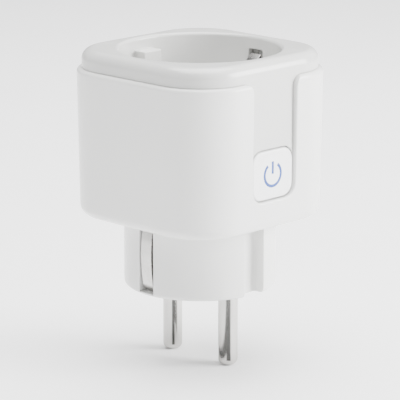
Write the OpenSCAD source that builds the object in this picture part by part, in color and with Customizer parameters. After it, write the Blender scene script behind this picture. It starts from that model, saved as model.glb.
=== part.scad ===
// Smart plug with a pass-through safety socket, millimetres.
// Origin: centre of the plug nose's end face. +Z runs towards the socket, -Y is the button side.

/* [Body] */
// width and depth of the square body
body_w = 50; // [48:0.5:60]
// height of the body above the wall socket's face
body_h = 40.7; // [40.7:0.1:55]
// radius of the body's four upright corners
corner_r = 14; // [12.5:0.5:16]
// height of the socket cover above the seam
cover_h = 4.6; // [4.2:0.1:8]
// step from the shell's face in to the cover's face
cover_inset = 1.2; // [0.8:0.1:1.6]
// radius rounding the cover's top edge
cover_round = 2.6; // [1.8:0.1:3.2]
// how far each side leans in towards the bottom
side_lean = 0.55; // [0:0.05:0.8]
// radius rounding the shell's bottom edge
bottom_round = 2.6; // [1.5:0.1:2.8]
// thickness of the shell's side walls at the seam
shell_wall = 2; // [1.8:0.1:2.4]
// thickness of the shell's floor
shell_floor = 2; // [1.6:0.1:2.6]

/* [Button side] */
// width of the slot in the shell's button side
slot_w = 14.4; // [13:0.1:15.5]
// height of the slot's lower end above the body's underside
slot_rise = 7.2; // [6:0.1:9]
// radius of the slot's two lower corners
slot_r = 3.4; // [2:0.1:5]
// radius of the flare at the slot's upper corners
flare_r = 2.7; // [1:0.1:4]
// height of the button
button_h = 11.8; // [10:0.1:13]
// clearance all round the button
button_gap = 0.3; // [0.2:0.05:0.4]
// depth of the button's face behind the body's widest line
button_sink = 1; // [0.6:0.1:1.6]
// outer diameter of the power symbol
symbol_d = 6.3; // [5:0.1:9]
// stroke width of the power symbol
symbol_stroke = 0.75; // [0.5:0.05:1]
// how far the button presses in
button_travel = 0.5; // [0.3:0.05:0.6]

/* [Socket well] */
// radius of the round well
well_r = 19.5; // [19:0.1:20]
// depth of the well
well_depth = 17.5; // [17:0.5:18.5]
// thickness of the wall round the well
well_wall = 1.5; // [1.2:0.1:1.5]
// thickness of the plate at the bottom of the well
plate_t = 2; // [1.6:0.1:3]
// radius of the two contact holes
contact_hole_r = 2.75; // [2.6:0.05:3]
// width of the two guide ribs in the well
rib_w = 6; // [4:0.1:6.2]
// how far the guide ribs stand out of the well wall
rib_out = 3.5; // [2.5:0.1:3.5]
// how far the shutter slides
shutter_travel = 6.2; // [6:0.1:6.4]

/* [Plug nose] */
// radius of the plug nose
nose_r = 18.5; // [18:0.1:19]
// height of the plug nose
nose_h = 17.5; // [17:0.5:18.5]
// thickness of the nose's side wall
nose_wall = 2.2; // [1.8:0.1:2.6]
// thickness of the nose's end
nose_end_t = 3; // [2.5:0.1:4]
// radius of a contact pin
pin_r = 2.4; // [2:0.05:2.4]
// length of a contact pin outside the nose
pin_l = 19; // [17:0.5:20]
// distance between the two pins
pin_pitch = 19; // [18:0.5:20]
// width of an earth clip
clip_w = 4; // [3:0.1:5]
// thickness of the earth strips
clip_t = 0.8; // [0.5:0.05:1]
// width of a keying notch in the nose
notch_w = 6.4; // [5:0.1:7]
// depth of a keying notch in the nose
notch_d = 3.2; // [2:0.1:3.4]
// distance of the earth pin's hole from the nose's centre
earth_offset = 10; // [9.5:0.1:10.5]
// radius of the earth pin's hole
earth_hole_r = 2.7; // [2.5:0.05:3]

/* [Inside] */
// thickness of the main circuit board
board_t = 1.2; // [0.8:0.1:1.2]
// height of the relay
relay_h = 11.8; // [9:0.1:11.8]
// radius of the cover's four screw posts
post_r = 2.4; // [2:0.1:2.5]

/* [Hidden] */

seat_gap = 0.15;     // clearance between fixed parts that drop into each other
move_gap = 0.3;      // clearance between a moving part and its neighbours
fine = 96;           // sides of a large round form
small = 32;          // sides of a small round form

z_body = nose_h;                    // the body's underside
z_top = z_body + body_h;            // the cover's rim
z_seam = z_top - cover_h;           // the seam between shell and cover
z_well = z_top - well_depth;        // the bottom of the well
core = body_w / 2 - corner_r;       // centre of each upright corner
shell_in = corner_r - shell_wall;   // the corner radius inside the shell
band_r = corner_r - cover_inset;    // the corner radius of the cover
skirt_r = shell_in - seat_gap;      // the cover's skirt inside the shell
skirt_wall = 1.6;
skirt_h = 5.8;
cover_wall = 2.2;
tab_t = 1;
tab_face = body_w / 2 - cover_inset;
button_w = slot_w - 2 * button_gap;
button_z = z_body + slot_rise + button_gap + button_h / 2;
button_r = slot_r - button_gap;
button_face = body_w / 2 - button_sink;
button_t = 1.5;
flange_t = 0.8;
flange_out = 1.2;
button_back = button_face - button_t - flange_t;
symbol_depth = 0.6;

post_at = core + 5.9;               // the screw posts, from the centre both ways
tube_low = z_well - 5.8;              // the lower end of the wall round the well
ledge_r = well_r - 1.3;             // the ledge that carries the contact plate
plate_r = well_r - seat_gap;
shutter_t = 2;
shutter_low = z_well - plate_t - move_gap - shutter_t;
shutter_left = -(contact_hole_r + 0.45);
shutter_right = 5;
shutter_half = 12.5;
retainer_top = shutter_low - move_gap;
retainer_t = 1.2;
retainer_r = ledge_r + 1.15;
spring_seat = shutter_right + shutter_travel + 6.1;
spring_r = 1;

flange_r = nose_r + 2.3;
boss_x = 4.6;
boss_y = nose_r - 0.5;              // the two bosses that carry the main board
flange_low = z_body + shell_floor;
nose_top = flange_low + 1.4;
board_z = nose_top + 0.6;
board_top = board_z + board_t;
board_r = 10.5;
pin_y = pin_pitch / 2;
root_r = pin_r + 0.4;
tail_r = 1.5;
tail_top = 14;
busbar_z = 12;
busbar_t = 0.8;
busbar_y = pin_y + 3.1;
notch_floor = max(nose_r - notch_d, busbar_y + busbar_t / 2 + move_gap + 1.6);
contact_r = 3.5;
contact_in = 2.6;
contact_low = 27;
contact_top = retainer_top - retainer_t - move_gap;
strip_x = nose_r - 1.1;             // the earth strip inside the nose wall
strip_out = body_w / 2 - shell_wall - 0.6; // the earth strip beside the boards
strip_well = well_r + 0.8;          // the earth strip in the well wall
bridge_z = 18.3;
link_y = 15.7;                      // the button board's back face
switch_y = 16.9;                    // the button board's front face
switch_face = 20.4;
plunger_in = switch_face - 0.8;     // the plunger's inner end, inside the switch

// Points along an arc, from angle a to angle b.
function arc(x, y, r, a, b, n) =
  [for (i = [0:n]) [x + r * cos(a + (b - a) * i / n), y + r * sin(a + (b - a) * i / n)]];

// Outline of a rounded rectangle about the origin.
function rounded(w, h, r) = concat(
  arc(w / 2 - r, h / 2 - r, r, 0, 90, 8),
  arc(-w / 2 + r, h / 2 - r, r, 90, 180, 8),
  arc(-w / 2 + r, -h / 2 + r, r, 180, 270, 8),
  arc(w / 2 - r, -h / 2 + r, r, 270, 360, 8));

// Direction from one point to the next, and its left-hand normal.
function along(p, q) = (q - p) / norm(q - p);
function left_of(d) = [-d[1], d[0]];

// Offset of a bent strip's centre line at bend i, mitred.
function mitre(p, i) =
  let (a = left_of(along(p[max(i - 1, 0)], p[max(i, 1)])),
       b = left_of(along(p[min(i, len(p) - 2)], p[min(i + 1, len(p) - 1)])))
  (a + b) / (1 + a * b);

// A flat strip of thickness t bent along the points p.
module bent_strip(p, t) {
  last = len(p) - 1;
  polygon(concat(
    [for (i = [0:last]) p[i] + mitre(p, i) * t / 2],
    [for (i = [last:-1:0]) p[i] - mitre(p, i) * t / 2]));
}

// Carries a wall profile round the body's rounded square.
module round_the_body() {
  for (k = [0:3]) {
    rotate([0, 0, 90 * k])
      translate([core, core, 0])
        rotate_extrude(angle = 90, $fn = fine) children();
    rotate([0, 0, 90 * k])
      translate([core, core, 0])
        rotate([90, 0, 0])
          linear_extrude(2 * core) children();
  }
}

// Places its children at the four screw posts.
module at_posts() {
  for (x = [-1, 1])
    for (y = [-1, 1])
      translate([x * post_at, y * post_at, 0]) children();
}

// Turns an outline drawn in X and Z into a slab between two depths behind the button side.
module front_slab(near, far) {
  translate([0, -far, 0])
    rotate([90, 0, 0])
      linear_extrude(near - far) children();
}

// The shell's slot: a U with flared upper corners.
module slot_outline() {
  half = slot_w / 2;
  low = z_body + slot_rise;
  polygon(concat(
    arc(-half + slot_r, low + slot_r, slot_r, 180, 270, 8),
    arc(half - slot_r, low + slot_r, slot_r, 270, 360, 8),
    arc(half + flare_r, z_seam - flare_r, flare_r, 180, 90, 8),
    [[half + flare_r, z_seam + 3], [-half - flare_r, z_seam + 3]],
    arc(-half - flare_r, z_seam - flare_r, flare_r, 90, 0, 8)));
}

// The outline of the cover's tab, inside the slot by the seating clearance.
module tab_outline() {
  half = slot_w / 2 - seat_gap;
  flare = flare_r + seat_gap;
  polygon(concat(
    [[-half, button_z], [half, button_z]],
    arc(half + flare, z_seam - flare, flare, 180, 90, 8),
    [[half + flare, z_top - cover_round], [-half - flare, z_top - cover_round]],
    arc(-half - flare, z_seam - flare, flare, 90, 0, 8)));
}

// The outer shell: four walls, a floor, the slot and the nose's hole.
module outer_shell() color([0.93, 0.93, 0.92]) {
  low_r = corner_r - side_lean;
  difference() {
    union() {
      round_the_body() polygon(concat(
        [[0, z_body]],
        arc(low_r - bottom_round, z_body + bottom_round, bottom_round, -90, 0, 8),
        arc(corner_r - 1, z_seam - 1, 1, 0, 90, 5),
        [[shell_in, z_seam], [shell_in, z_body + shell_floor + 0.8],
         [shell_in - 0.8, z_body + shell_floor], [0, z_body + shell_floor]]));
      translate([-core, -core, z_body])
        cube([2 * core, 2 * core, shell_floor]);
    }
    translate([0, 0, z_body - 1])
      cylinder(r = nose_r + seat_gap, h = shell_floor + 2, $fn = fine);
    front_slab(body_w / 2 + 1, body_w / 2 - 4) slot_outline();
    at_posts() {
      translate([0, 0, z_body - 1])
        cylinder(r = 1.6, h = shell_floor + 2, $fn = small);
      translate([0, 0, z_body - 1])
        cylinder(r = 2.35, h = 2, $fn = small);
    }
  }
}

// The socket cover: rim, skirt, well wall with its ribs, the tab and four screw posts.
module socket_cover() color([0.93, 0.93, 0.92]) {
  difference() {
    union() {
      round_the_body() polygon(concat(
        [[0, z_top - cover_wall], [band_r - cover_round, z_top - cover_wall]],
        [[skirt_r - skirt_wall, z_top - cover_round - 0.4]],
        [[skirt_r - skirt_wall, z_seam - skirt_h], [skirt_r, z_seam - skirt_h]],
        [[skirt_r, z_seam], [band_r, z_seam]],
        arc(band_r - cover_round, z_top - cover_round, cover_round, 0, 90, 8),
        [[0, z_top]]));
      translate([-core, -core, z_top - cover_wall])
        cube([2 * core, 2 * core, cover_wall]);
      translate([0, 0, tube_low])
        cylinder(r = well_r + well_wall, h = z_top - tube_low - 0.5, $fn = fine);
      front_slab(tab_face, tab_face - tab_t) tab_outline();
      at_posts()
        translate([0, 0, flange_low])
          cylinder(r = post_r, h = z_top - 1.5 - flange_low, $fn = small);
    }
    difference() {
      translate([0, 0, tube_low - 1])
        cylinder(r = well_r, h = z_top - tube_low + 2, $fn = fine);
      for (s = [-1, 1])
        translate([-rib_w / 2, s * (well_r - rib_out / 2 + 0.5) - rib_out / 2 - 0.5, z_well])
          cube([rib_w, rib_out + 1, well_depth - 3]);
      difference() {
        translate([0, 0, z_well - plate_t - 1.4])
          cylinder(r = well_r + 0.5, h = 1.4, $fn = fine);
        translate([0, 0, z_well - plate_t - 3])
          cylinder(r = ledge_r, h = 5, $fn = fine);
      }
    }
    translate([0, 0, z_top - 0.5])
      cylinder(r1 = well_r, r2 = well_r + 0.7, h = 0.7, $fn = fine);
    for (s = [-1, 1])
      translate([s * (well_r + 0.9) - 2.5, -clip_w / 2 - move_gap, tube_low - 1])
        cube([5, clip_w + 2 * move_gap, z_top - 3.2 - tube_low]);
    front_slab(body_w / 2 + 1, body_w / 2 - 5)
      translate([0, button_z])
        polygon(rounded(button_w + 2 * button_gap, button_h + 2 * button_gap, slot_r));
    at_posts()
      translate([0, 0, flange_low - 1])
        cylinder(r = 1.25, h = 13, $fn = small);
  }
}

// The plate at the bottom of the well, with the two contact holes.
module contact_plate() color([0.9, 0.9, 0.89]) {
  difference() {
    translate([0, 0, z_well - plate_t])
      cylinder(r = plate_r, h = plate_t, $fn = fine);
    for (s = [-1, 1])
      translate([0, s * pin_y, z_well - plate_t - 1])
        cylinder(r = contact_hole_r, h = plate_t + 2, $fn = fine);
  }
}

// The sliding shutter that blocks both contact holes.
module shutter() color([0.86, 0.86, 0.85]) {
  difference() {
    translate([shutter_left, -shutter_half, shutter_low])
      cube([shutter_right - shutter_left, 2 * shutter_half, shutter_t]);
    translate([shutter_right - 1, -spring_r - 0.4, shutter_low - 1])
      cube([3, 2 * spring_r + 0.8, shutter_t + 2]);
  }
}

// The coil spring that pushes the shutter shut.
module shutter_spring() color([0.72, 0.73, 0.75]) {
  near = shutter_right - 1 + 0.1;
  translate([near, 0, shutter_low + shutter_t / 2])
    rotate([0, 90, 0])
      linear_extrude(height = spring_seat - near - 0.1, twist = -360 * 7, slices = 112)
        translate([spring_r - 0.2, 0])
          square([0.4, 1.1], center = true);
}

// The cup that carries the shutter and its spring.
module shutter_retainer() color([0.86, 0.86, 0.85]) {
  difference() {
    union() {
      translate([0, 0, retainer_top - retainer_t])
        cylinder(r = retainer_r, h = retainer_t, $fn = fine);
      difference() {
        translate([0, 0, retainer_top - 0.1])
          cylinder(r = retainer_r, h = z_well - plate_t - 1.4 - retainer_top + 0.1, $fn = fine);
        translate([0, 0, retainer_top - 1])
          cylinder(r = ledge_r, h = 6, $fn = fine);
      }
      for (s = [-1, 1])
        translate([shutter_left, s * (shutter_half + move_gap + 0.5) - 0.5, retainer_top - 0.1])
          cube([14, 1, shutter_t]);
      translate([spring_seat, -2, retainer_top - 0.1])
        cube([1.2, 4, z_well - plate_t - move_gap - retainer_top]);
    }
    for (s = [-1, 1])
      translate([0, s * pin_y, retainer_top - 4])
        cylinder(r = contact_hole_r + 0.5, h = 8, $fn = small);
  }
}

// The power symbol's flat outline, wider all round by grow.
module symbol_outline(grow) {
  mid = symbol_d / 2 - symbol_stroke / 2;
  half = symbol_stroke / 2 + grow;
  polygon(concat(
    arc(0, 0, mid + half, 126, 414, 36),
    arc(0, 0, mid - half, 414, 126, 36)));
  translate([-half, symbol_d * 0.02 - grow])
    square([2 * half, symbol_d * 0.48 + 2 * grow]);
}

// The power button: a rounded cap on a wider flange.
module power_button() color([0.95, 0.95, 0.95]) {
  difference() {
    union() {
      front_slab(button_face - 0.5, button_back + 0.1)
        translate([0, button_z])
          polygon(rounded(button_w, button_h, button_r));
      front_slab(button_face, button_face - 0.6)
        translate([0, button_z])
          polygon(rounded(button_w - 0.5, button_h - 0.5, button_r - 0.25));
      front_slab(button_back + flange_t, button_back)
        translate([0, button_z])
          polygon(rounded(button_w + 2 * flange_out, button_h + 2 * flange_out, button_r));
    }
    front_slab(button_face + 1, button_face - symbol_depth)
      translate([0, button_z]) symbol_outline(0);
  }
}

// The power symbol: a light guide let into the button's face.
module power_symbol() color([0.16, 0.45, 0.85]) {
  front_slab(button_face, button_face - symbol_depth)
    translate([0, button_z]) symbol_outline(0);
}

// The push switch behind the button.
module tact_switch() color([0.12, 0.12, 0.13]) {
  difference() {
    front_slab(switch_face, switch_y)
      translate([0, button_z]) square(6, center = true);
    front_slab(switch_face + 1, plunger_in - button_travel - 0.3)
      translate([0, button_z]) circle(r = 1.75, $fn = small);
  }
}

// The push switch's plunger.
module switch_plunger() color([0.3, 0.3, 0.32]) {
  front_slab(button_back - 0.05, plunger_in)
    translate([0, button_z]) circle(r = 1.65, $fn = small);
}

// The upright board behind the button.
module button_board() color([0.08, 0.3, 0.16]) {
  front_slab(switch_y, link_y)
    translate([-6.8, board_top + 2.2])
      square([13.6, 9.6]);
}

// One indicator on the button board, at x.
module status_led(x) {
  front_slab(switch_y + 0.8, switch_y)
    translate([x, button_z]) square([1.6, 3], center = true);
}

module status_led_left() color([0.75, 0.85, 1]) status_led(-4.9);
module status_led_right() color([0.75, 0.85, 1]) status_led(4.9);

// The pin header that joins the button board to the main board.
module board_header() color([0.1, 0.1, 0.1]) {
  translate([-5.5, -link_y, board_top])
    cube([8, 2.2, 4.4]);
}

// The main board, cut round the posts, the earth strips and the busbars.
module main_board() color([0.08, 0.32, 0.17]) {
  difference() {
    union() {
      round_the_body()
        translate([0, board_z]) square([board_r, board_t]);
      translate([-core, -core, board_z])
        cube([2 * core, 2 * core, board_t]);
    }
    at_posts()
      translate([0, 0, board_z - 1])
        cylinder(r = post_r + move_gap, h = board_t + 2, $fn = small);
    for (s = [-1, 1])
      translate([s * (strip_x + 5.1) - 6, -clip_w / 2 - 0.6, board_z - 1])
        cube([12, clip_w + 1.2, board_t + 2]);
    for (s = [-1, 1])
      translate([-2.3, s * busbar_y - 0.6, board_z - 1])
        cube([4.6, 1.2, board_t + 2]);
    for (s = [-1, 1])
      translate([boss_x * s, boss_y * s, board_z - 1])
        cylinder(r = 1.15, h = board_t + 2, $fn = small);
  }
}

// The relay that switches the socket.
module relay() color([0.1, 0.1, 0.11]) {
  translate([5, -14.3, board_top])
    cube([15.7, 28.6, relay_h]);
}

// The upright radio board.
module wifi_board() color([0.05, 0.1, 0.3]) {
  translate([-19.9, -8, board_top])
    cube([0.8, 16, 11.7]);
}

// The metal can over the radio board's chips.
module wifi_shield() color([0.75, 0.76, 0.77]) {
  translate([-19.1, -6, board_top + 0.6])
    cube([2.2, 12, 8]);
}

// A round capacitor standing on the main board at x, y.
module bulk_capacitor(x, y) {
  translate([x, y, board_top]) {
    cylinder(r = 3.7, h = 0.6, $fn = small);
    translate([0, 0, 0.6])
      cylinder(r = 4, h = 11.2, $fn = small);
  }
}

module bulk_capacitor_a() color([0.1, 0.15, 0.35]) bulk_capacitor(-10.4, 16.2);
module bulk_capacitor_b() color([0.1, 0.15, 0.35]) bulk_capacitor(-2.2, 17.4);

// The flat film capacitor across the mains.
module film_capacitor() color([0.85, 0.7, 0.2]) {
  translate([-14.5, -11, board_top])
    cube([6, 13, 11.6]);
}

// The disc that absorbs mains surges, on two leads.
module varistor() color([0.15, 0.3, 0.6]) {
  translate([-11, 8.6, board_top + 6.3])
    rotate([90, 0, 0])
      cylinder(r = 4.5, h = 3.6, $fn = small);
  for (x = [-13, -9])
    translate([x, 6.8, board_top])
      cylinder(r = 0.4, h = 4, $fn = 16);
}

// The filter inductor on the main board.
module inductor() color([0.2, 0.2, 0.2]) {
  translate([11, -18.6, board_top]) {
    cylinder(r = 3.4, h = 1.2, $fn = small);
    cylinder(r = 2.8, h = 8, $fn = small);
    translate([0, 0, 7.8])
      cylinder(r = 3.4, h = 1.2, $fn = small);
  }
}

// The fusible resistor, lying on its leads.
module fuse_resistor() color([0.3, 0.55, 0.35]) {
  translate([-14, -14, board_top + 2.4])
    rotate([0, 90, 0])
      cylinder(r = 1.8, h = 6.4, $fn = small);
  for (x = [-13.2, -8.4])
    translate([x, -14, board_top])
      cylinder(r = 0.4, h = 2, $fn = 16);
}

// The bridge rectifier between the two contacts.
module bridge_rectifier() color([0.1, 0.1, 0.1]) {
  translate([-3.2, -3, board_top])
    cube([6.5, 4.5, 2.4]);
}

// The power supply's control chip.
module power_chip() color([0.12, 0.12, 0.12]) {
  translate([-3.2, 2.4, board_top])
    cube([5, 4, 1.6]);
}

// One socket contact: a split sleeve on a flat leg, at y.
module socket_contact(y) {
  translate([0, y, 0]) {
    difference() {
      translate([0, 0, contact_low])
        cylinder(r = contact_r, h = contact_top - contact_low, $fn = small);
      translate([0, 0, contact_low - 1])
        cylinder(r = contact_in, h = contact_top - contact_low + 2, $fn = small);
      translate([0, -0.5, contact_low - 1])
        cube([contact_r + 1, 1, contact_top - contact_low + 2]);
    }
    translate([-contact_r + 0.15, -1.2, board_top])
      cube([0.7, 2.4, contact_low + 1 - board_top]);
  }
}

module line_contact() color([0.8, 0.62, 0.3]) socket_contact(-pin_y);
module neutral_contact() color([0.8, 0.62, 0.3]) socket_contact(pin_y);

// One solid contact pin with a rounded tip, a thicker root in the nose and a thin tail, at y.
module contact_pin(y) {
  tip = 1.6;
  translate([0, y, 0])
    rotate_extrude($fn = fine)
      polygon(concat(
        [[0, -pin_l]],
        arc(pin_r - tip, -pin_l + tip, tip, -90, 0, 8),
        [[pin_r, 0], [root_r, 0], [root_r, nose_end_t]],
        [[root_r + 0.7, nose_end_t], [root_r + 0.7, nose_end_t + 2]],
        [[tail_r, nose_end_t + 2], [tail_r, tail_top], [0, tail_top]]));
}

module line_pin() color([0.8, 0.8, 0.8]) contact_pin(-pin_y);
module neutral_pin() color([0.8, 0.8, 0.8]) contact_pin(pin_y);

// The busbar from a pin's tail up through the main board, on the side s.
module busbar(s) {
  difference() {
    to_side(s)
      translate([-2, 0, 0])
        rotate([90, 0, 90])
          linear_extrude(4)
            bent_strip([[pin_y - 2.5, busbar_z], [busbar_y, busbar_z],
              [busbar_y, board_top + 0.8]], busbar_t);
    translate([0, s * pin_y, busbar_z - 2])
      cylinder(r = tail_r, h = 4, $fn = small);
  }
}

// Mirrors its children to the -Y side when s is -1.
module to_side(s) {
  if (s < 0) mirror([0, 1, 0]) children();
  else children();
}

module line_busbar() color([0.8, 0.62, 0.3]) busbar(-1);
module neutral_busbar() color([0.8, 0.62, 0.3]) busbar(1);

// The earth strip on the +X side: nose clip, rise beside the boards, bowed well clip.
module earth_strip() {
  rotate([90, 0, 0])
    translate([0, 0, -clip_w / 2])
      linear_extrude(clip_w)
        bent_strip(concat(
          [[strip_x - 1.2, 1.4], [strip_x, 2.4], [strip_x + 0.5, 6.5], [strip_x + 0.7, 10]],
          [[strip_x + 0.5, 13.5], [strip_x, 17], [strip_x, board_z - 0.8]],
          [[strip_out, board_z + 1.2], [strip_out, tube_low - 1.4], [strip_well, tube_low + 1.2]],
          [[strip_well, z_well + 1], [strip_well - 2.1, z_well + 5], [strip_well - 3.1, z_well + 8.4]],
          [[strip_well - 2.1, z_well + 11.6], [strip_well - 0.6, z_well + 13]]), clip_t);
}

module earth_strip_right() color([0.75, 0.75, 0.74]) earth_strip();
module earth_strip_left() color([0.75, 0.75, 0.74]) mirror([1, 0, 0]) earth_strip();

// The bar between the earth strips and the sleeve that takes a wall socket's earth pin.
module earth_bridge() color([0.75, 0.75, 0.74]) {
  reach = strip_x - clip_t / 2;
  difference() {
    union() {
      translate([-reach, -clip_w / 2, bridge_z])
        cube([2 * reach, clip_w, clip_t]);
      translate([earth_offset, 0, nose_end_t])
        cylinder(r = earth_hole_r + 0.6, h = bridge_z + clip_t - nose_end_t, $fn = small);
    }
    translate([earth_offset, 0, nose_end_t - 1])
      cylinder(r = earth_hole_r - 0.2, h = bridge_z - nose_end_t - 1, $fn = small);
  }
}

// The plug nose: a cup with a flange, keying notches, clip slots and holes for the pins.
module plug_nose() color([0.93, 0.93, 0.92]) {
  edge = 1.2;
  inner = nose_r - nose_wall;
  difference() {
    union() {
      rotate_extrude($fn = fine)
        polygon(concat(
          [[0, 0]],
          arc(nose_r - edge, edge, edge, -90, 0, 6),
          [[nose_r, flange_low], [flange_r, flange_low], [flange_r, nose_top]],
          [[inner, nose_top], [inner, nose_end_t], [0, nose_end_t]]));
      for (s = [-1, 1])
        translate([-notch_w / 2 - 1.6, s * notch_floor - 1.6, nose_end_t - 0.5])
          cube([notch_w + 3.2, 3.2, z_body + 1.5 - nose_end_t]);
      for (s = [-1, 1])
        translate([boss_x * s, boss_y * s, nose_top - 0.5])
          cylinder(r = 2.1, h = board_z - nose_top + 0.5, $fn = small);
    }
    for (s = [-1, 1]) {
      translate([-notch_w / 2, s * (notch_floor + 4) - 4, -1])
        cube([notch_w, 8, z_body + 1]);
      translate([s * (strip_x + 1.6) - 3.1, -clip_w / 2 - move_gap, 0.8])
        cube([6.2, clip_w + 2 * move_gap, nose_top + 2]);
      translate([0, s * pin_y, -1])
        cylinder(r = root_r + 0.05, h = nose_end_t + 2, $fn = fine);
      translate([boss_x * s, boss_y * s, flange_low + 0.4])
        cylinder(r = 1.05, h = 6, $fn = small);
    }
    translate([earth_offset, 0, -1])
      cylinder(r = earth_hole_r, h = nose_end_t + 2, $fn = fine);
  }
}

// One countersunk case screw in a post.
module case_screw() {
  translate([0, 0, z_body]) {
    difference() {
      cylinder(r = 2.25, h = 1, $fn = small);
      translate([-1.6, -0.3, -1])
        cube([3.2, 0.6, 1.5]);
      translate([-0.3, -1.6, -1])
        cube([0.6, 3.2, 1.5]);
    }
    cylinder(r = 1.2, h = 12, $fn = small);
  }
}

module case_screw_a() color([0.5, 0.5, 0.52]) translate([post_at, post_at, 0]) case_screw();
module case_screw_b() color([0.5, 0.5, 0.52]) translate([-post_at, post_at, 0]) case_screw();
module case_screw_c() color([0.5, 0.5, 0.52]) translate([-post_at, -post_at, 0]) case_screw();
module case_screw_d() color([0.5, 0.5, 0.52]) translate([post_at, -post_at, 0]) case_screw();

// One board screw through the main board into the nose's flange.
module board_screw() {
  translate([0, 0, board_top])
    cylinder(r = 1.9, h = 1.4, $fn = small);
  translate([0, 0, flange_low + 0.5])
    cylinder(r = 1, h = board_top - flange_low, $fn = small);
}

module board_screw_a() color([0.5, 0.5, 0.52]) translate([boss_x, boss_y, 0]) board_screw();
module board_screw_b() color([0.5, 0.5, 0.52]) translate([-boss_x, -boss_y, 0]) board_screw();

outer_shell();
socket_cover();
contact_plate();
shutter();
shutter_spring();
shutter_retainer();
power_button();
power_symbol();
tact_switch();
switch_plunger();
button_board();
status_led_left();
status_led_right();
board_header();
main_board();
relay();
wifi_board();
wifi_shield();
bulk_capacitor_a();
bulk_capacitor_b();
film_capacitor();
varistor();
inductor();
fuse_resistor();
bridge_rectifier();
power_chip();
line_contact();
neutral_contact();
line_pin();
neutral_pin();
line_busbar();
neutral_busbar();
earth_strip_left();
earth_strip_right();
earth_bridge();
plug_nose();
case_screw_a();
case_screw_b();
case_screw_c();
case_screw_d();
board_screw_a();
board_screw_b();
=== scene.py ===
import math

import bmesh
import bpy
from mathutils import Matrix, Vector


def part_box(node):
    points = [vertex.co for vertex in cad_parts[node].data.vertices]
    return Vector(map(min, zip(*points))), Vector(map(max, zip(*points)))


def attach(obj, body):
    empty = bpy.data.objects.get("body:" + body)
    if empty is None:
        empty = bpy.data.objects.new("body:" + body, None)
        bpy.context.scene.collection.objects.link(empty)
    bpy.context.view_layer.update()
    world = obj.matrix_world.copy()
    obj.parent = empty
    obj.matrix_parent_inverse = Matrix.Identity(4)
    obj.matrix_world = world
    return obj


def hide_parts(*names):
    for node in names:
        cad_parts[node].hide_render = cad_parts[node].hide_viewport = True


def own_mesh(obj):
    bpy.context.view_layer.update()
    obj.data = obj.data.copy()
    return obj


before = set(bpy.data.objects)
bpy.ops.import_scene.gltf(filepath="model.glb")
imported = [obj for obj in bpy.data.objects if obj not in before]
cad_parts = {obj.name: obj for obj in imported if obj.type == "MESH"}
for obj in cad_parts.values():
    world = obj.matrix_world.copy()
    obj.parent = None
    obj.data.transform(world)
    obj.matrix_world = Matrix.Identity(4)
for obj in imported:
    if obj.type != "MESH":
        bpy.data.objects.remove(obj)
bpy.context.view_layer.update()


# ---- Plug nose ----------------------------------------------------------------------------
# The nose is the round foot that enters a wall socket: a moulded cup of glossy white plastic.
# It has a keying notch on two sides, an open slot on the other two for the earth clips, holes
# for the pins and an earth pin, and a flange inside the shell with two bosses for the board.

def corners_of(node):
    """A CAD node's lowest and highest corners, in millimetres."""
    low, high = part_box(node)
    return low * 1000, high * 1000


def outline(corners):
    """One flat face in X and Z from corners (across, up, rounding radius), in millimetres."""
    bm = bmesh.new()
    rounded = []
    for across, up, radius in corners:
        vert = bm.verts.new((across, 0, up))
        if radius:
            rounded.append((vert, radius))
    bm.faces.new(bm.verts)
    for vert, radius in rounded:
        bmesh.ops.bevel(bm, geom=[vert], offset=radius, offset_type="OFFSET", affect="VERTICES",
                        segments=8, profile=0.5, material=-1)
    return bm


def open_line(corners):
    """An outline without its face and without the edges that lie on the Z axis."""
    bm = outline(corners)
    bmesh.ops.delete(bm, geom=bm.faces[:], context="FACES_ONLY")
    axis = [e for e in bm.edges if all(abs(v.co.x) < 1e-6 for v in e.verts)]
    bmesh.ops.delete(bm, geom=axis, context="EDGES")
    return bm


def turned(corners, steps=96):
    """A solid of revolution about Z from a half profile's corners (radius, height, rounding)."""
    bm = open_line(corners)
    bmesh.ops.spin(bm, geom=bm.verts[:] + bm.edges[:], cent=(0, 0, 0), axis=(0, 0, 1),
                   angle=math.tau, steps=steps, use_merge=True, use_duplicate=False)
    bmesh.ops.remove_doubles(bm, verts=bm.verts[:], dist=1e-4)
    bmesh.ops.recalc_face_normals(bm, faces=bm.faces[:])
    return bm


def moved(bm, offset):
    """The same bmesh, shifted by offset."""
    bmesh.ops.translate(bm, verts=bm.verts[:], vec=Vector(offset))
    return bm


def block(low, high, edge=0.0):
    """A box between two corners, its upright edges rounded by edge."""
    bm = bmesh.new()
    bmesh.ops.create_cube(bm, size=1)
    size = [b - a for a, b in zip(low, high)]
    bmesh.ops.scale(bm, verts=bm.verts[:], vec=size)
    bmesh.ops.translate(bm, verts=bm.verts[:], vec=[(a + b) / 2 for a, b in zip(low, high)])
    if edge:
        upright = [e for e in bm.edges if abs(e.verts[0].co.z - e.verts[1].co.z) > 1e-3]
        bmesh.ops.bevel(bm, geom=upright, offset=edge, offset_type="OFFSET", affect="EDGES",
                        segments=5, profile=0.5, material=-1)
    return bm


def rod(radius, low, high, at=(0, 0), steps=48):
    """An upright cylinder between two heights."""
    return moved(turned([(0, low, 0), (radius, low, 0), (radius, high, 0), (0, high, 0)], steps),
                 (at[0], at[1], 0))


def sided(side, near, far):
    """Two distances from the middle plane, in order, on the side that -1 or 1 names."""
    return sorted((side * near, side * far))


def together(*shapes):
    """Several bmeshes as one."""
    bm = shapes[0]
    for shape in shapes[1:]:
        mesh = bpy.data.meshes.new("joined")
        shape.to_mesh(mesh)
        shape.free()
        bm.from_mesh(mesh)
        bpy.data.meshes.remove(mesh)
    return bm


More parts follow.
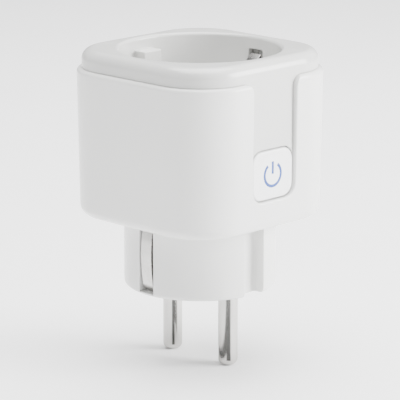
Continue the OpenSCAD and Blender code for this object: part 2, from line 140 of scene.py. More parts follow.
def piece(name, bm):
    """The finished bmesh as an object, in metres."""
    bmesh.ops.scale(bm, verts=bm.verts[:], vec=(0.001, 0.001, 0.001))
    mesh = bpy.data.meshes.new(name)
    bm.to_mesh(mesh)
    bm.free()
    obj = bpy.data.objects.new(name, mesh)
    bpy.context.scene.collection.objects.link(obj)
    return obj


def settle(obj):
    """Applies the object's modifiers to its mesh."""
    bpy.context.view_layer.update()
    before = obj.data
    obj.data = bpy.data.meshes.new_from_object(
        obj.evaluated_get(bpy.context.evaluated_depsgraph_get()))
    obj.modifiers.clear()
    obj.data.name = obj.name
    bpy.data.meshes.remove(before)


def combine(obj, bm, operation):
    """Joins the bmesh to the object with UNION, or takes it away with DIFFERENCE."""
    tool = piece("tool", bm)
    boolean = obj.modifiers.new("cut", "BOOLEAN")
    boolean.object = tool
    boolean.operation = operation
    boolean.solver = "EXACT"
    boolean.use_self = True
    settle(obj)
    bpy.data.objects.remove(tool)
    bm = bmesh.new()
    bm.from_mesh(obj.data)
    bmesh.ops.remove_doubles(bm, verts=bm.verts[:], dist=2e-6)
    bmesh.ops.dissolve_degenerate(bm, dist=2e-6, edges=bm.edges[:])
    bm.to_mesh(obj.data)
    bm.free()


def smooth(obj):
    """Shades the object smooth, its flat faces staying flat up to their rounded edges."""
    obj.data.polygons.foreach_set("use_smooth", [True] * len(obj.data.polygons))
    obj.data.set_sharp_from_angle(angle=math.radians(50))
    weighted = obj.modifiers.new("normals", "WEIGHTED_NORMAL")
    weighted.weight = 100
    weighted.keep_sharp = True
    settle(obj)


def soften(obj, width, angle=35, segments=3):
    """Rounds the object's sharp edges by width millimetres and shades it smooth."""
    bevel = obj.modifiers.new("edges", "BEVEL")
    bevel.width = width / 1000
    bevel.segments = segments
    bevel.limit_method = "ANGLE"
    bevel.angle_limit = math.radians(angle)
    bevel.miter_outer = "MITER_ARC"
    bevel.use_clamp_overlap = False
    settle(obj)
    smooth(obj)


def finish_named(name):
    """An empty node material: its tree, its shader and its Object coordinates."""
    material = bpy.data.materials.new(name)
    material.use_nodes = True
    tree = material.node_tree
    shader = tree.nodes["Principled BSDF"]
    coordinates = tree.nodes.new("ShaderNodeTexCoord")
    return material, tree, shader, coordinates.outputs["Object"]


def stretched(tree, coordinates, scale):
    """The coordinates with a Mapping node's scale."""
    mapping = tree.nodes.new("ShaderNodeMapping")
    mapping.inputs["Scale"].default_value = scale
    tree.links.new(coordinates, mapping.inputs["Vector"])
    return mapping.outputs["Vector"]


def noise(tree, coordinates, scale, detail=3.0):
    """A noise texture's value."""
    node = tree.nodes.new("ShaderNodeTexNoise")
    node.inputs["Scale"].default_value = scale
    node.inputs["Detail"].default_value = detail
    tree.links.new(coordinates, node.inputs["Vector"])
    return node.outputs["Fac"]


def ranged(tree, value, low, high, span=(0.3, 0.7)):
    """A value spread from low to high."""
    node = tree.nodes.new("ShaderNodeMapRange")
    node.inputs["From Min"].default_value = span[0]
    node.inputs["From Max"].default_value = span[1]
    node.inputs["To Min"].default_value = low
    node.inputs["To Max"].default_value = high
    tree.links.new(value, node.inputs["Value"])
    return node.outputs["Result"]


def blended(tree, value, first, second, span=(0.3, 0.7)):
    """A colour that runs from first to second with the value."""
    ramp = tree.nodes.new("ShaderNodeValToRGB")
    ramp.color_ramp.elements[0].position = span[0]
    ramp.color_ramp.elements[1].position = span[1]
    ramp.color_ramp.elements[0].color = (*first, 1)
    ramp.color_ramp.elements[1].color = (*second, 1)
    tree.links.new(value, ramp.inputs["Fac"])
    return ramp.outputs["Color"]


def relief(tree, shader, height, depth, strength=1.0):
    """A bump of depth millimetres on the shader's normal."""
    bump = tree.nodes.new("ShaderNodeBump")
    bump.inputs["Strength"].default_value = strength
    bump.inputs["Distance"].default_value = depth / 1000
    tree.links.new(height, bump.inputs["Height"])
    tree.links.new(bump.outputs["Normal"], shader.inputs["Normal"])


def moulded_plastic(name, colour, shade, gloss=(0.16, 0.26), grain=900, depth=0.012):
    """Injection-moulded plastic: a faint flow in its colour, uneven gloss and a fine skin."""
    material, tree, shader, coordinates = finish_named(name)
    flow = noise(tree, coordinates, 38, 4)
    tree.links.new(blended(tree, flow, shade, colour), shader.inputs["Base Color"])
    tree.links.new(ranged(tree, noise(tree, coordinates, 160, 4), *gloss),
                   shader.inputs["Roughness"])
    relief(tree, shader, noise(tree, coordinates, grain, 2), depth, 0.35)
    shader.inputs["IOR"].default_value = 1.5
    return material


nose_high = corners_of("plug_nose")[1]
shell_low, shell_high = corners_of("outer_shell")
nose_radius = 18.5
nose_wall = 2.2
nose_end = 3.0
nose_rounding = 1.2
flange_radius = nose_high.x
boss_tall = 0.6
nose_top = nose_high.z - boss_tall
flange_low = nose_top - 1.4
boss_x = 4.6
boss_y = nose_radius - 0.5
boss_radius = 2.1
boss_hole = 1.05
notch_floor = nose_radius - 3.2
notch_half = 3.2
notch_rounding = 0.5
backing_half = 4.8
backing_thick = 1.6
pin_side = 9.5
pin_hole = 2.85
earth_hole = 10.0
earth_hole_radius = 2.7
strip_line = 17.4
strip_width = 3.4
strip_slot_half = 2.3

nose = piece("nose", turned([
    (0, 0, 0), (nose_radius, 0, nose_rounding), (nose_radius, flange_low, 0),
    (flange_radius, flange_low, 0), (flange_radius, nose_top, 0),
    (nose_radius - nose_wall, nose_top, 0), (nose_radius - nose_wall, nose_end, 0.6),
    (0, nose_end, 0)], steps=128))
for side in (-1, 1):
    inner, outer = sided(side, notch_floor - backing_thick, notch_floor + backing_thick)
    combine(nose, together(
        block((-backing_half, inner, nose_end - 0.5), (backing_half, outer, flange_low - 0.5)),
        rod(boss_radius, nose_top - 0.5, nose_high.z, (side * boss_x, side * boss_y))), "UNION")
for side in (-1, 1):
    notch = sided(side, notch_floor, notch_floor + 8)
    slot = sided(side, strip_line - 1.5, strip_line + 4.7)
    combine(nose, together(
        block((-notch_half, notch[0], -1), (notch_half, notch[1], shell_low.z), notch_rounding),
        block((slot[0], -strip_slot_half, 0.8), (slot[1], strip_slot_half, nose_top + 1)),
        rod(pin_hole, -1, nose_end + 1, (0, side * pin_side)),
        rod(boss_hole, flange_low + 0.4, nose_top + 2, (side * boss_x, side * boss_y))),
        "DIFFERENCE")
combine(nose, rod(earth_hole_radius, -1, nose_end + 1, (earth_hole, 0)), "DIFFERENCE")
soften(nose, 0.18)
nose.data.materials.append(
    moulded_plastic("nose_plastic", (0.75, 0.75, 0.735), (0.72, 0.72, 0.705)))
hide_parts("plug_nose")
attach(nose, "housing")


# ---- Contact pins -------------------------------------------------------------------------
# Two solid pins turned from brass bar and nickel plated, pressed into the nose's end from
# inside. Each has a domed tip, a thicker root in the plastic, a collar and a thin riveted tail.

def nickel_plate(name):
    """Bright nickel over turned brass: fine rings round the pin, and random streaks along it that
    are darker and a little rougher.
    """
    material, tree, shader, coordinates = finish_named(name)
    rings = tree.nodes.new("ShaderNodeTexWave")
    rings.wave_type = "BANDS"
    rings.bands_direction = "Z"
    rings.inputs["Scale"].default_value = 700
    rings.inputs["Distortion"].default_value = 1.5
    rings.inputs["Detail"].default_value = 2
    tree.links.new(coordinates, rings.inputs["Vector"])
    # Random noise stretched along the pin: streaks that are darker and rougher where it is low.
    lengthwise_streaks = noise(tree, stretched(tree, coordinates, (1, 1, 0.25)), 240, 4)
    tree.links.new(blended(tree, lengthwise_streaks, (0.48, 0.47, 0.455), (0.6, 0.59, 0.57)),
                   shader.inputs["Base Color"])
    tree.links.new(ranged(tree, lengthwise_streaks, 0.2, 0.13), shader.inputs["Roughness"])
    relief(tree, shader, rings.outputs["Fac"], 0.004, 0.3)
    shader.inputs["Metallic"].default_value = 1
    return material


pin_radius = 2.4
pin_root = 2.8
pin_tail = 1.5
pin_tip = 1.6
collar_radius = pin_root + 0.7
collar_top = nose_end + 2
pin_nickel = nickel_plate("plated_pin")
for node, side in (("line_pin", -1), ("neutral_pin", 1)):
    low, high = corners_of(node)
    pin = piece(node.replace("_", "_contact_"), moved(turned([
        (0, low.z, 0), (pin_radius, low.z, pin_tip), (pin_radius, 0, 0.15), (pin_root, 0, 0.15),
        (pin_root, nose_end, 0), (collar_radius, nose_end, 0), (collar_radius, collar_top, 0.3),
        (pin_tail, collar_top, 0), (pin_tail, high.z, 0.3), (0, high.z, 0)], steps=64),
        (0, side * pin_side, 0)))
    soften(pin, 0.08, angle=50)
    pin.data.materials.append(pin_nickel)
    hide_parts(node)
    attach(pin, "housing")


# ---- Earth strips -------------------------------------------------------------------------
# On each side one strip of sprung steel, stamped and bent, runs from the clip on the nose, up
# beside the boards inside the shell, to the clip that bows into the socket well.

def verts_in(geometry):
    """The vertices among the geometry that a bmesh operator returned."""
    return [part for part in geometry if isinstance(part, bmesh.types.BMVert)]


def rolled_steel(name, colour, shade, gloss=(0.22, 0.36), along=(1, 1, 0.06)):
    """Sheet metal with the fine lines of its rolling and dull patches from handling."""
    material, tree, shader, coordinates = finish_named(name)
    lines = noise(tree, stretched(tree, coordinates, along), 2600, 3)
    patches = noise(tree, coordinates, 210, 4)
    tree.links.new(blended(tree, patches, shade, colour), shader.inputs["Base Color"])
    tree.links.new(ranged(tree, patches, *gloss), shader.inputs["Roughness"])
    relief(tree, shader, lines, 0.006, 0.35)
    shader.inputs["Metallic"].default_value = 1
    return material


strip_thick = 0.8
strip_bend = 0.7
body_tall = 40.7
well_deep = 17.5
well_radius = 19.5
well_floor = shell_low.z + body_tall - well_deep
wall_low = well_floor - 5.8
board_z = nose_high.z
strip_out = shell_high.x - 2.6
strip_well = well_radius + 0.8
strip_bends = [
    (strip_line - 1.2, 1.4), (strip_line, 2.4), (strip_line + 0.5, 6.5), (strip_line + 0.7, 10),
    (strip_line + 0.5, 13.5), (strip_line, 17), (strip_line, board_z - 0.8),
    (strip_out, board_z + 1.2), (strip_out, wall_low - 1.4), (strip_well, wall_low + 1.2),
    (strip_well, well_floor + 1), (strip_well - 2.1, well_floor + 5),
    (strip_well - 3.1, well_floor + 8.4), (strip_well - 2.1, well_floor + 11.6),
    (strip_well - 0.6, well_floor + 13)]
strip_steel = rolled_steel("sprung_steel", (0.62, 0.61, 0.59), (0.5, 0.49, 0.47))
for node, side in (("earth_strip_right", 1), ("earth_strip_left", -1)):
    bm = bmesh.new()
    bends = [bm.verts.new((side * x, -strip_width / 2, z)) for x, z in strip_bends]
    edges = [bm.edges.new(pair) for pair in zip(bends, bends[1:])]
    wide = bmesh.ops.extrude_edge_only(bm, edges=edges)["geom"]
    bmesh.ops.translate(bm, verts=verts_in(wide), vec=(0, strip_width, 0))
    creases = [e for e in bm.edges if len(e.link_faces) == 2]
    bmesh.ops.bevel(bm, geom=creases, offset=strip_bend, offset_type="OFFSET", affect="EDGES",
                    segments=4, profile=0.5, material=-1, clamp_overlap=True)
    bmesh.ops.recalc_face_normals(bm, faces=bm.faces[:])
    strip = piece(node.replace("earth_strip", "earth_spring"), bm)
    sheet = strip.modifiers.new("gauge", "SOLIDIFY")
    sheet.thickness = strip_thick / 1000
    sheet.offset = 0
    sheet.use_even_offset = True
    settle(strip)
    soften(strip, 0.12, angle=60, segments=2)
    strip.data.materials.append(strip_steel)
    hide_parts(node)
    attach(strip, "housing")


# ---- Outer shell --------------------------------------------------------------------------
# The shell is one glossy white moulding: four walls that lean in slightly to the bottom, a
# floor with the nose's hole and four screw recesses, and a slot in the button side with rounded
# lower corners and flared upper ones, where the cover's tab and the button show.

def carried_round(corners, core):
    """A wall profile (out from the corner's centre, height, rounding) carried round the square."""
    bm = open_line(corners)
    bmesh.ops.rotate(bm, verts=bm.verts[:], cent=(0, 0, 0),
                     matrix=Matrix.Rotation(math.pi / 2, 3, "Z"))
    bmesh.ops.translate(bm, verts=bm.verts[:], vec=(0, core, 0))

    def run(geometry, offset):
        """Draws the geometry's edges out by offset and returns what that made."""
        ends = [g for g in geometry if isinstance(g, bmesh.types.BMEdge)]
        new = bmesh.ops.extrude_edge_only(bm, edges=ends)["geom"]
        bmesh.ops.translate(bm, verts=verts_in(new), vec=offset)
        return new

    side = run(bm.edges[:], (core, 0, 0))
    ends = [g for g in side if isinstance(g, (bmesh.types.BMEdge, bmesh.types.BMVert))]
    turn = bmesh.ops.spin(bm, geom=ends, cent=(core, core, 0), axis=(0, 0, -1),
                          angle=math.pi / 2, steps=24)["geom_last"]
    run(turn, (0, -core, 0))
    for axis in ("X", "Y"):
        bmesh.ops.mirror(bm, geom=bm.verts[:] + bm.edges[:] + bm.faces[:], axis=axis,
                         merge_dist=1e-3)
    bmesh.ops.remove_doubles(bm, verts=bm.verts[:], dist=1e-3)
    bmesh.ops.holes_fill(bm, edges=[e for e in bm.edges if e.is_boundary], sides=0)
    bmesh.ops.recalc_face_normals(bm, faces=bm.faces[:])
    return bm


def faced(corners, near, far):
    """An outline drawn in X and Z as a slab between two depths on the button side."""
    bm = outline(corners)
    bmesh.ops.translate(bm, verts=bm.verts[:], vec=(0, -near, 0))
    new = bmesh.ops.extrude_face_region(bm, geom=bm.faces[:])["geom"]
    bmesh.ops.translate(bm, verts=verts_in(new), vec=(0, near - far, 0))
    bmesh.ops.recalc_face_normals(bm, faces=bm.faces[:])
    return bm


def ease(obj, width, choose, segments=4):
    """Rounds by width millimetres the sharp edges whose middle points choose picks."""
    bm = bmesh.new()
    bm.from_mesh(obj.data)
    sharp = [e for e in bm.edges if e.calc_face_angle(0) > math.radians(40)
             and choose((e.verts[0].co + e.verts[1].co) / 2 * 1000)]
    bmesh.ops.bevel(bm, geom=sharp, offset=width / 1000, offset_type="OFFSET", affect="EDGES",
                    segments=segments, profile=0.5, material=-1)
    bm.to_mesh(obj.data)
    bm.free()


corner_radius = 14.0
core = shell_high.x - corner_radius
underside = shell_low.z
seam = shell_high.z
shell_wall = 2.0
shell_inside = corner_radius - shell_wall
side_lean = 0.55
shell_floor = underside + shell_wall
bottom_rounding = 2.6
lip_rounding = 1.0
edge_rounding = 0.5
slot_half = 7.2
slot_low = underside + 7.2
slot_corner = 3.4
slot_flare = 2.7
slot_wing = slot_half + slot_flare + 1
slot_high = seam + 0.05
fit_gap = 0.15
screw_recess = 2.35
screw_hole = 1.6
post_out = 5.9
post_at = core + post_out
posts = [(x, y) for x in (-post_at, post_at) for y in (-post_at, post_at)]

shell = piece("shell", carried_round([
    (0, underside, 0), (corner_radius - side_lean, underside, bottom_rounding),
    (corner_radius, seam, lip_rounding), (shell_inside, seam, 0), (shell_inside, shell_floor, 0.8),
    (0, shell_floor, 0)], core))
combine(shell, rod(nose_radius + fit_gap, underside - 1, shell_floor + 1, steps=128), "DIFFERENCE")
combine(shell, faced([
    (-slot_half, slot_low, slot_corner), (slot_half, slot_low, slot_corner),
    (slot_half, slot_high, slot_flare), (slot_wing, slot_high, 0), (slot_wing, seam + 3, 0),
    (-slot_wing, seam + 3, 0), (-slot_wing, slot_high, 0), (-slot_half, slot_high, slot_flare)],
    shell_high.x + 1, shell_high.x - 4), "DIFFERENCE")
ease(shell, edge_rounding, lambda middle: middle.z < underside + 0.1 or (
    middle.y < -shell_high.x + 1.2 and slot_low - 1 < middle.z < seam - 1.3))
for post in posts:
    combine(shell, rod(screw_recess, underside - 1, underside + 1, post), "DIFFERENCE")
    combine(shell, rod(screw_hole, underside, shell_floor + 1, post), "DIFFERENCE")
soften(shell, 0.08, angle=60, segments=2)
shell.data.materials.append(
    moulded_plastic("shell_plastic", (0.77, 0.77, 0.755), (0.745, 0.745, 0.73)))
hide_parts("outer_shell")
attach(shell, "housing")


# ---- Socket cover -------------------------------------------------------------------------
# The cover closes the shell: a rounded rim round the well, a skirt inside the shell, the well's
# wall with two guide ribs and two clip channels, a tab in the shell's slot and four screw posts.

def panel(half, low, high, corner):
    """The corners of an upright rectangle with rounded corners."""
    return [(-half, low, corner), (half, low, corner), (half, high, corner),
            (-half, high, corner)]


cover_low, cover_high = corners_of("socket_cover")
rim = cover_high.z
cover_radius = corner_radius - 1.2
cover_round = 2.6
skirt_radius = shell_inside - fit_gap
skirt_inside = skirt_radius - 1.6
skirt_low = seam - 5.8
top_under = rim - 2.2
tab_face = cover_high.x
tab_half = slot_half - fit_gap
tab_flare = slot_flare + fit_gap
tab_wing = tab_half + tab_flare + 0.01
well_wall = 1.5
step_high = well_floor - 2
step_low = well_floor - 3.4
step_radius = well_radius - 1.3
rib_half = 3.0
rib_rounding = 0.5
opening_tall = 6.2
post_radius = 2.4
post_hole = 1.25
button_low, button_high = corners_of("power_button")
button_z = (button_low.z + button_high.z) / 2

cover = piece("cover", carried_round([
    (0, top_under, 0), (skirt_inside, top_under, 0), (skirt_inside, skirt_low, 0),
    (skirt_radius, skirt_low, 0), (skirt_radius, seam, 0), (cover_radius, seam, 0),
    (cover_radius, rim, cover_round), (0, rim, 0)], core))
combine(cover, rod(well_radius + well_wall, wall_low, rim - 0.5, steps=128), "UNION")
combine(cover, faced([
    (-tab_half, button_z, 0), (tab_half, button_z, 0), (tab_half, seam, tab_flare),
    (tab_wing, seam, 0), (tab_wing, rim - cover_round, 0), (-tab_wing, rim - cover_round, 0),
    (-tab_wing, seam, 0), (-tab_half, seam, tab_flare)], tab_face, tab_face - 1), "UNION")
for post in posts:
    combine(cover, rod(post_radius, cover_low.z, rim - 1.5, post), "UNION")
combine(cover, turned([
    (0, wall_low - 1, 0), (well_radius, wall_low - 1, 0), (well_radius, step_low, 0),
    (step_radius, step_low, 0), (step_radius, step_high, 0), (well_radius, step_high, 0),
    (well_radius, rim - 0.5, 0), (well_radius + 1, rim + 0.5, 0), (0, rim + 0.5, 0)], steps=128),
    "DIFFERENCE")
for side in (-1, 1):
    inner, outer = sided(side, well_radius - 3.5, well_radius + 0.6)
    combine(cover, block((-rib_half, inner, well_floor), (rib_half, outer, rim - 3), rib_rounding),
            "UNION")
    inner, outer = sided(side, well_radius - 1.6, well_radius + 3.4)
    combine(cover, block((inner, -strip_slot_half, wall_low - 1),
                         (outer, strip_slot_half, rim - 3.2)), "DIFFERENCE")
opening = panel(slot_half, button_z - opening_tall, button_z + opening_tall, slot_corner)
combine(cover, faced(opening, shell_high.x + 1, shell_high.x - 5), "DIFFERENCE")
for post in posts:
    combine(cover, rod(post_hole, cover_low.z - 1, cover_low.z + 12, post), "DIFFERENCE")
soften(cover, 0.25)
# The cover's plastic is greyer than the shell's: partly its own tone, partly painted shade that
# darkens the well and the tab.
cover.data.materials.append(
    moulded_plastic("cover_plastic", (0.6, 0.6, 0.585), (0.575, 0.575, 0.56)))
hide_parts("socket_cover")
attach(cover, "housing")


# ---- Shutter spring -----------------------------------------------------------------------
# A small coil of spring wire between the shutter and the end stop of its cup. It pushes the
# shutter shut, and is pressed together as the pins push the shutter aside.

def spring_wire(name):
    """Drawn spring wire: bright, with faint draw marks."""
    material, tree, shader, coordinates = finish_named(name)
    marks = noise(tree, coordinates, 3000, 3)
    tree.links.new(blended(tree, marks, (0.5, 0.51, 0.53), (0.68, 0.69, 0.71)),
                   shader.inputs["Base Color"])
    tree.links.new(ranged(tree, marks, 0.22, 0.34), shader.inputs["Roughness"])
    relief(tree, shader, marks, 0.004, 0.3)
    shader.inputs["Metallic"].default_value = 1
    return material


spring_low, spring_high = corners_of("shutter_spring")
wire_radius = 0.2
coils = 7
coil_steps = 20
spring_middle = (spring_low.z + spring_high.z) / 2
coil_radius = (spring_high.z - spring_low.z) / 2 - wire_radius
bm = bmesh.new()
bmesh.ops.create_circle(bm, cap_ends=True, segments=12, radius=wire_radius)
bmesh.ops.rotate(bm, verts=bm.verts[:], cent=(0, 0, 0),
                 matrix=Matrix.Rotation(math.pi / 2, 3, "X"))
bmesh.ops.translate(bm, verts=bm.verts[:],
                    vec=(spring_low.x + wire_radius, 0, spring_middle + coil_radius))
rise = (spring_high.x - spring_low.x - 2 * wire_radius) / (coils * coil_steps)
bmesh.ops.spin(bm, geom=bm.faces[:], cent=(0, 0, spring_middle), axis=(1, 0, 0),
               dvec=(rise, 0, 0), angle=coils * math.tau, steps=coils * coil_steps)
bmesh.ops.remove_doubles(bm, verts=bm.verts[:], dist=1e-4)
bmesh.ops.recalc_face_normals(bm, faces=bm.faces[:])
spring = piece("coil_spring", bm)
smooth(spring)
spring.data.materials.append(spring_wire("spring_wire"))
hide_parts("shutter_spring")
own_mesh(spring)
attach(spring, "housing")


# ---- Contact plate ------------------------------------------------------------------------
# A white disc at the bottom of the well, snapped in above the contacts. Its two holes lead the
# pins in, each with a shallow countersink that finds the pin.

plate_low, plate_high = corners_of("contact_plate")
plate_hole = 2.75
hole_mouth = 3.25
mouth_deep = 0.5
plate = piece("plate", turned([
    (0, plate_low.z, 0), (plate_high.x, plate_low.z, 0.2), (plate_high.x, plate_high.z, 0.3),
    (0, plate_high.z, 0)], steps=128))
for side in (-1, 1):
    hole = moved(turned([
        (0, plate_low.z - 1, 0), (plate_hole, plate_low.z - 1, 0),
        (plate_hole, plate_high.z - mouth_deep, 0), (hole_mouth, plate_high.z, 0),
        (hole_mouth, plate_high.z + 1, 0), (0, plate_high.z + 1, 0)], 64),
        (0, side * pin_side, 0))
    combine(plate, hole, "DIFFERENCE")
soften(plate, 0.1)
plate.data.materials.append(moulded_plastic("plate_plastic", (0.84, 0.84, 0.83), (0.81, 0.81, 0.8),
                                            gloss=(0.3, 0.42), grain=1400, depth=0.02))
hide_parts("contact_plate")
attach(plate, "housing")


# ---- Case screws --------------------------------------------------------------------------
# Four self-tapping screws in recesses of the shell's floor, zinc plated, with a slightly domed
# head, a cross recess and a coarse thread that bites into the cover's posts.

def zinc_plate(name):
    """Zinc-plated steel, grey and faintly mottled."""
    material, tree, shader, coordinates = finish_named(name)
    mottle = noise(tree, coordinates, 1400, 4)
    tree.links.new(blended(tree, mottle, (0.42, 0.43, 0.45), (0.58, 0.58, 0.6)),
                   shader.inputs["Base Color"])
    tree.links.new(ranged(tree, mottle, 0.28, 0.42), shader.inputs["Roughness"])
    relief(tree, shader, mottle, 0.01, 0.4)
    shader.inputs["Metallic"].default_value = 1
    return material


screw_zinc = zinc_plate("screw_zinc")
screw_head = 2.25
head_tall = 1.0
cross_long = 1.5
cross_half = 0.3
cross_deep = 0.6
shank_radius = 1.0
thread_root = 0.95
thread_crest = 1.2
thread_pitch = 0.9
thread_low = 1.6
thread_steps = 22
thread = [(thread_root if step % 2 else thread_crest,
           underside + thread_low + step * thread_pitch / 2, 0) for step in range(thread_steps)]
for node in ("case_screw_a", "case_screw_b", "case_screw_c", "case_screw_d"):
    low, high = corners_of(node)
    centre = ((low.x + high.x) / 2, (low.y + high.y) / 2, 0)
    screw = piece(node.replace("case_screw", "shell_screw"), moved(turned([
        (0, underside, 0), (screw_head, underside, 0.35), (screw_head, underside + head_tall, 0),
        (shank_radius, underside + head_tall, 0), *thread, (0, high.z, 0)], 32), centre))
    for x, y in ((cross_long, cross_half), (cross_half, cross_long)):
        cross = block((-x, -y, underside - 1), (x, y, underside + cross_deep))
        combine(screw, moved(cross, centre), "DIFFERENCE")
    soften(screw, 0.05, angle=50, segments=2)
    screw.data.materials.append(screw_zinc)
    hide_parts(node)
    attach(screw, "housing")


# ---- Power button -------------------------------------------------------------------------
# The button is a white cap with softly rounded corners on a wider flange that stops it inside
# the cover. The power symbol is a light guide of blue plastic let flush into its face, lit from
# behind; its light and the little that spreads through the white round it are a painted glow,
# emission in the symbol and in the cap round it.

def power_mark(low, high):
    """The power symbol's open ring and bar as a solid between two depths on the button side."""
    ring = symbol_radius - symbol_stroke / 2
    bm = bmesh.new()
    bmesh.ops.create_grid(bm, x_segments=1, y_segments=1, size=0.5)
    bmesh.ops.scale(bm, verts=bm.verts[:], vec=(symbol_stroke, low - high, 1))
    bmesh.ops.translate(bm, verts=bm.verts[:], vec=(ring, -(low + high) / 2, 0))
    bmesh.ops.rotate(bm, verts=bm.verts[:], cent=(0, 0, 0),
                     matrix=Matrix.Rotation(math.radians(-90 - symbol_gap / 2), 3, "Y"))
    bmesh.ops.spin(bm, geom=bm.faces[:], cent=(0, 0, 0), axis=(0, -1, 0),
                   angle=math.radians(360 - symbol_gap), steps=64)
    bmesh.ops.recalc_face_normals(bm, faces=bm.faces[:])
    bar = block((-symbol_stroke / 2, -low, symbol_radius * 0.04),
                (symbol_stroke / 2, -high, symbol_radius))
    return moved(together(bm, bar), (0, 0, button_z))


def lit_cap(name, centre):
    """White button plastic with a painted glow of the symbol's blue light bleeding a little way
    into it.
    """
    material = moulded_plastic(name, (0.88, 0.88, 0.88), (0.865, 0.865, 0.865))
    tree = material.node_tree
    shader = tree.nodes["Principled BSDF"]
    coordinates = next(n for n in tree.nodes if n.type == "TEX_COORD").outputs["Object"]
    distance = tree.nodes.new("ShaderNodeVectorMath")
    distance.operation = "DISTANCE"
    distance.inputs[1].default_value = centre
    tree.links.new(coordinates, distance.inputs[0])
    painted_glow = ranged(tree, distance.outputs["Value"], 0.14, 0.0, span=light_spread)
    shader.inputs["Emission Color"].default_value = (0.42, 0.68, 1.0, 1)
    tree.links.new(painted_glow, shader.inputs["Emission Strength"])
    return material


symbol_radius = 3.15
symbol_stroke = 0.75
symbol_gap = 72
symbol_depth = 0.6
button_front = -button_low.y
button_back = -button_high.y
cap_half = slot_half - 0.3
cap_tall = 5.9
cap_corner = slot_corner - 0.3
flange_out = 1.2
flange_thick = 0.8
light_spread = (0.0028, 0.0052)
cap = panel(cap_half, button_z - cap_tall, button_z + cap_tall, cap_corner)
flange = panel(cap_half + flange_out, button_z - cap_tall - flange_out,
               button_z + cap_tall + flange_out, cap_corner)
button = piece("button", faced(cap, button_front, button_back + 0.2))
soften(button, 0.5, angle=50, segments=5)
combine(button, faced(flange, button_back + flange_thick, button_back), "UNION")
combine(button, power_mark(button_front + 1, button_front - symbol_depth), "DIFFERENCE")
smooth(button)
button.data.materials.append(lit_cap("button_plastic", (0, -button_front / 1000, button_z / 1000)))
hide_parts("power_button")
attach(button, "button")

symbol = piece("symbol", power_mark(button_front, button_front - symbol_depth))
soften(symbol, 0.04, angle=60, segments=2)
blue_guide = moulded_plastic("blue_guide", (0.002, 0.055, 0.3), (0.002, 0.04, 0.24),
                             (0.35, 0.45), 2500)
shader = blue_guide.node_tree.nodes["Principled BSDF"]
# The symbol's faint blue emission is a painted glow as well.
shader.inputs["Emission Color"].default_value = (0.16, 0.5, 1.0, 1)
shader.inputs["Emission Strength"].default_value = 0.05
symbol.data.materials.append(blue_guide)
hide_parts("power_symbol")
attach(symbol, "button")


# ---- Inside: shutter, contacts, boards and parts -------------------------------------------
# Everything else is inside and keeps its CAD shape: the shutter in its cup, brass contacts and
# busbars stamped from strip, the earth bridge, the main, radio and button boards of lacquered
# glass fibre, and the parts soldered on them.

def coat(material, *nodes):
    """Gives CAD nodes a finish."""
    for node in nodes:
        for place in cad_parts[node].material_slots:
            place.material = material


def circuit_board(name, colour, shade):
    """Glass-fibre board: lacquer over a fine weave, with tracks that show as lighter lines."""
    material, tree, shader, coordinates = finish_named(name)
    tracks = tree.nodes.new("ShaderNodeTexBrick")
    tracks.inputs["Scale"].default_value = 260
    tracks.inputs["Mortar Size"].default_value = 0.05
    tracks.inputs["Color1"].default_value = (*colour, 1)
    tracks.inputs["Color2"].default_value = (*shade, 1)
    tracks.inputs["Mortar"].default_value = (
        colour[0] + 0.04, colour[1] + 0.14, colour[2] + 0.06, 1)
    tree.links.new(coordinates, tracks.inputs["Vector"])
    tree.links.new(tracks.outputs["Color"], shader.inputs["Base Color"])
    tree.links.new(ranged(tree, noise(tree, coordinates, 500, 3), 0.22, 0.4),
                   shader.inputs["Roughness"])
    relief(tree, shader, tracks.outputs["Fac"], 0.03, 0.5)
    return material


def coloured_metal(name, colour, shade, gloss=(0.24, 0.4)):
    """Stamped contact metal with the lines of its rolling."""
    return rolled_steel(name, colour, shade, gloss, along=(0.08, 1, 1))


coat(moulded_plastic("shutter_plastic", (0.8, 0.8, 0.79), (0.76, 0.76, 0.75), (0.3, 0.42)),
     "shutter", "shutter_retainer")
coat(coloured_metal("sprung_brass", (0.83, 0.62, 0.27), (0.7, 0.49, 0.2)),
     "line_contact", "neutral_contact", "line_busbar", "neutral_busbar")
coat(strip_steel, "earth_bridge")
coat(circuit_board("green_board", (0.02, 0.16, 0.06), (0.015, 0.13, 0.05)),
     "main_board", "button_board")
coat(circuit_board("blue_board", (0.02, 0.05, 0.2), (0.015, 0.04, 0.16)), "wifi_board")
coat(moulded_plastic("black_moulding", (0.03, 0.03, 0.033), (0.02, 0.02, 0.022), (0.35, 0.5)),
     "relay", "bridge_rectifier", "power_chip", "board_header", "tact_switch", "inductor")
coat(moulded_plastic("plunger_plastic", (0.1, 0.1, 0.105), (0.07, 0.07, 0.075), (0.35, 0.5)),
     "switch_plunger")
coat(coloured_metal("shield_tin", (0.72, 0.73, 0.74), (0.6, 0.61, 0.62)), "wifi_shield")
coat(moulded_plastic("can_sleeve", (0.03, 0.05, 0.16), (0.02, 0.035, 0.12), (0.2, 0.3)),
     "bulk_capacitor_a", "bulk_capacitor_b")
coat(moulded_plastic("yellow_film_case", (0.72, 0.5, 0.07), (0.65, 0.44, 0.05), (0.25, 0.38)),
     "film_capacitor")
coat(moulded_plastic("blue_disc_coat", (0.05, 0.12, 0.38), (0.04, 0.1, 0.32), (0.2, 0.32)),
     "varistor")
coat(moulded_plastic("green_resistor_coat", (0.1, 0.3, 0.13), (0.08, 0.25, 0.1), (0.4, 0.55)),
     "fuse_resistor")
coat(moulded_plastic("led_lens", (0.75, 0.84, 0.95), (0.7, 0.8, 0.92), (0.12, 0.2)),
     "status_led_left", "status_led_right")
coat(screw_zinc, "board_screw_a", "board_screw_b")


# ---- Table, light and camera ----------------------------------------------------------------
# The plug stands on its pins on a plain, wide, pale sheet, under soft lights from the right, the
# left and above and an even surround, seen from the corner between the button side and a plain one.

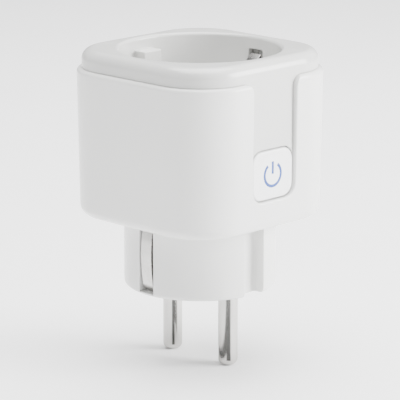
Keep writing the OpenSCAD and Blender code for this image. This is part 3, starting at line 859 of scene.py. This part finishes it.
sheet_low = corners_of("line_pin")[0].z
sheet_half = 3000
bm = bmesh.new()
bmesh.ops.create_grid(bm, x_segments=1, y_segments=1, size=sheet_half)
floor = piece("floor", moved(bm, (0, 0, sheet_low)))
paper, tree, shader, coordinates = finish_named("pale_paper")
fibres = noise(tree, coordinates, 30, 3)
tree.links.new(blended(tree, fibres, (0.95, 0.95, 0.95), (0.97, 0.97, 0.97)),
               shader.inputs["Base Color"])
shader.inputs["Roughness"].default_value = 0.75
shader.inputs["Emission Color"].default_value = (1, 1, 1, 1)
shader.inputs["Emission Strength"].default_value = 0.12
floor.data.materials.append(paper)

world = bpy.data.worlds.new("surround")
bpy.context.scene.world = world
world.use_nodes = True
surround = world.node_tree.nodes["Background"]
surround.inputs["Color"].default_value = (0.9, 0.92, 0.95, 1)
surround.inputs["Strength"].default_value = 0.28


def soft_light(name, place, aim, size, power):
    """A square area light at a place, turned to its aim."""
    data = bpy.data.lights.new(name, "AREA")
    data.size = size
    data.energy = power
    lamp = bpy.data.objects.new(name, data)
    lamp.location = place
    lamp.rotation_euler = (Vector(aim) - Vector(place)).to_track_quat("-Z", "Y").to_euler()
    bpy.context.scene.collection.objects.link(lamp)


soft_light("window_right", (0.45, -0.6, 0.25), (0, 0, 0.02), 0.45, 21)
soft_light("window_left", (-0.6, 0.1, 0.3), (0, 0, 0.02), 0.3, 0.9)
soft_light("overhead", (0.05, 0.05, 0.8), (0, 0, 0), 0.8, 25)

# A wedge of dark card lies before each pin and shows only in the metal's gloss, as a studio flag:
# it paints a dark reflection down the middle of each pin, and is hidden from camera, diffuse light
# and shadows.
painted_reflection_card, tree, shader, coordinates = finish_named("painted_reflection_dark")
reflection_card_noise = noise(tree, coordinates, 400, 3)
tree.links.new(blended(tree, reflection_card_noise, (0.08, 0.08, 0.08), (0.1, 0.1, 0.1)),
               shader.inputs["Base Color"])
shader.inputs["Roughness"].default_value = 0.95
card_near = 5
card_far = 90
card_lift = 0.2
card_turn = math.radians(-38)
for side, far_half in ((-1, 36), (1, 24)):
    near_half = far_half * card_near / card_far
    bm = bmesh.new()
    wedge = ((near_half, -card_near), (-near_half, -card_near), (-far_half, -card_far),
             (far_half, -card_far))
    bm.faces.new([bm.verts.new((x, y, sheet_low + card_lift)) for x, y in wedge])
    bmesh.ops.rotate(bm, verts=bm.verts[:], cent=(0, 0, 0),
                     matrix=Matrix.Rotation(card_turn, 3, "Z"))
    card = piece("reflection_card_right" if side < 0 else "reflection_card_left", moved(bm, (0, side * pin_side, 0)))
    card.data.materials.append(painted_reflection_card)
    # Seen only in reflections: this card is the painted dark streak on the pins.
    card.visible_camera = False
    card.visible_diffuse = False
    card.visible_shadow = False

azimuth = math.radians(-45.5)
elevation = math.radians(14)
back = Vector((math.sin(azimuth) * math.cos(elevation), -math.cos(azimuth) * math.cos(elevation),
               math.sin(elevation)))
target = Vector((0, 0, 0.0205))
camera_data = bpy.data.cameras.new("camera")
camera_data.lens = 230
camera_data.sensor_width = 36
camera_away = 0.62
camera = bpy.data.objects.new("camera", camera_data)
camera.location = target + back * camera_away
camera.rotation_euler = (-back).to_track_quat("-Z", "Y").to_euler()
camera_data.clip_start = 0.01
camera_data.clip_end = 10
bpy.context.scene.collection.objects.link(camera)
bpy.context.scene.camera = camera
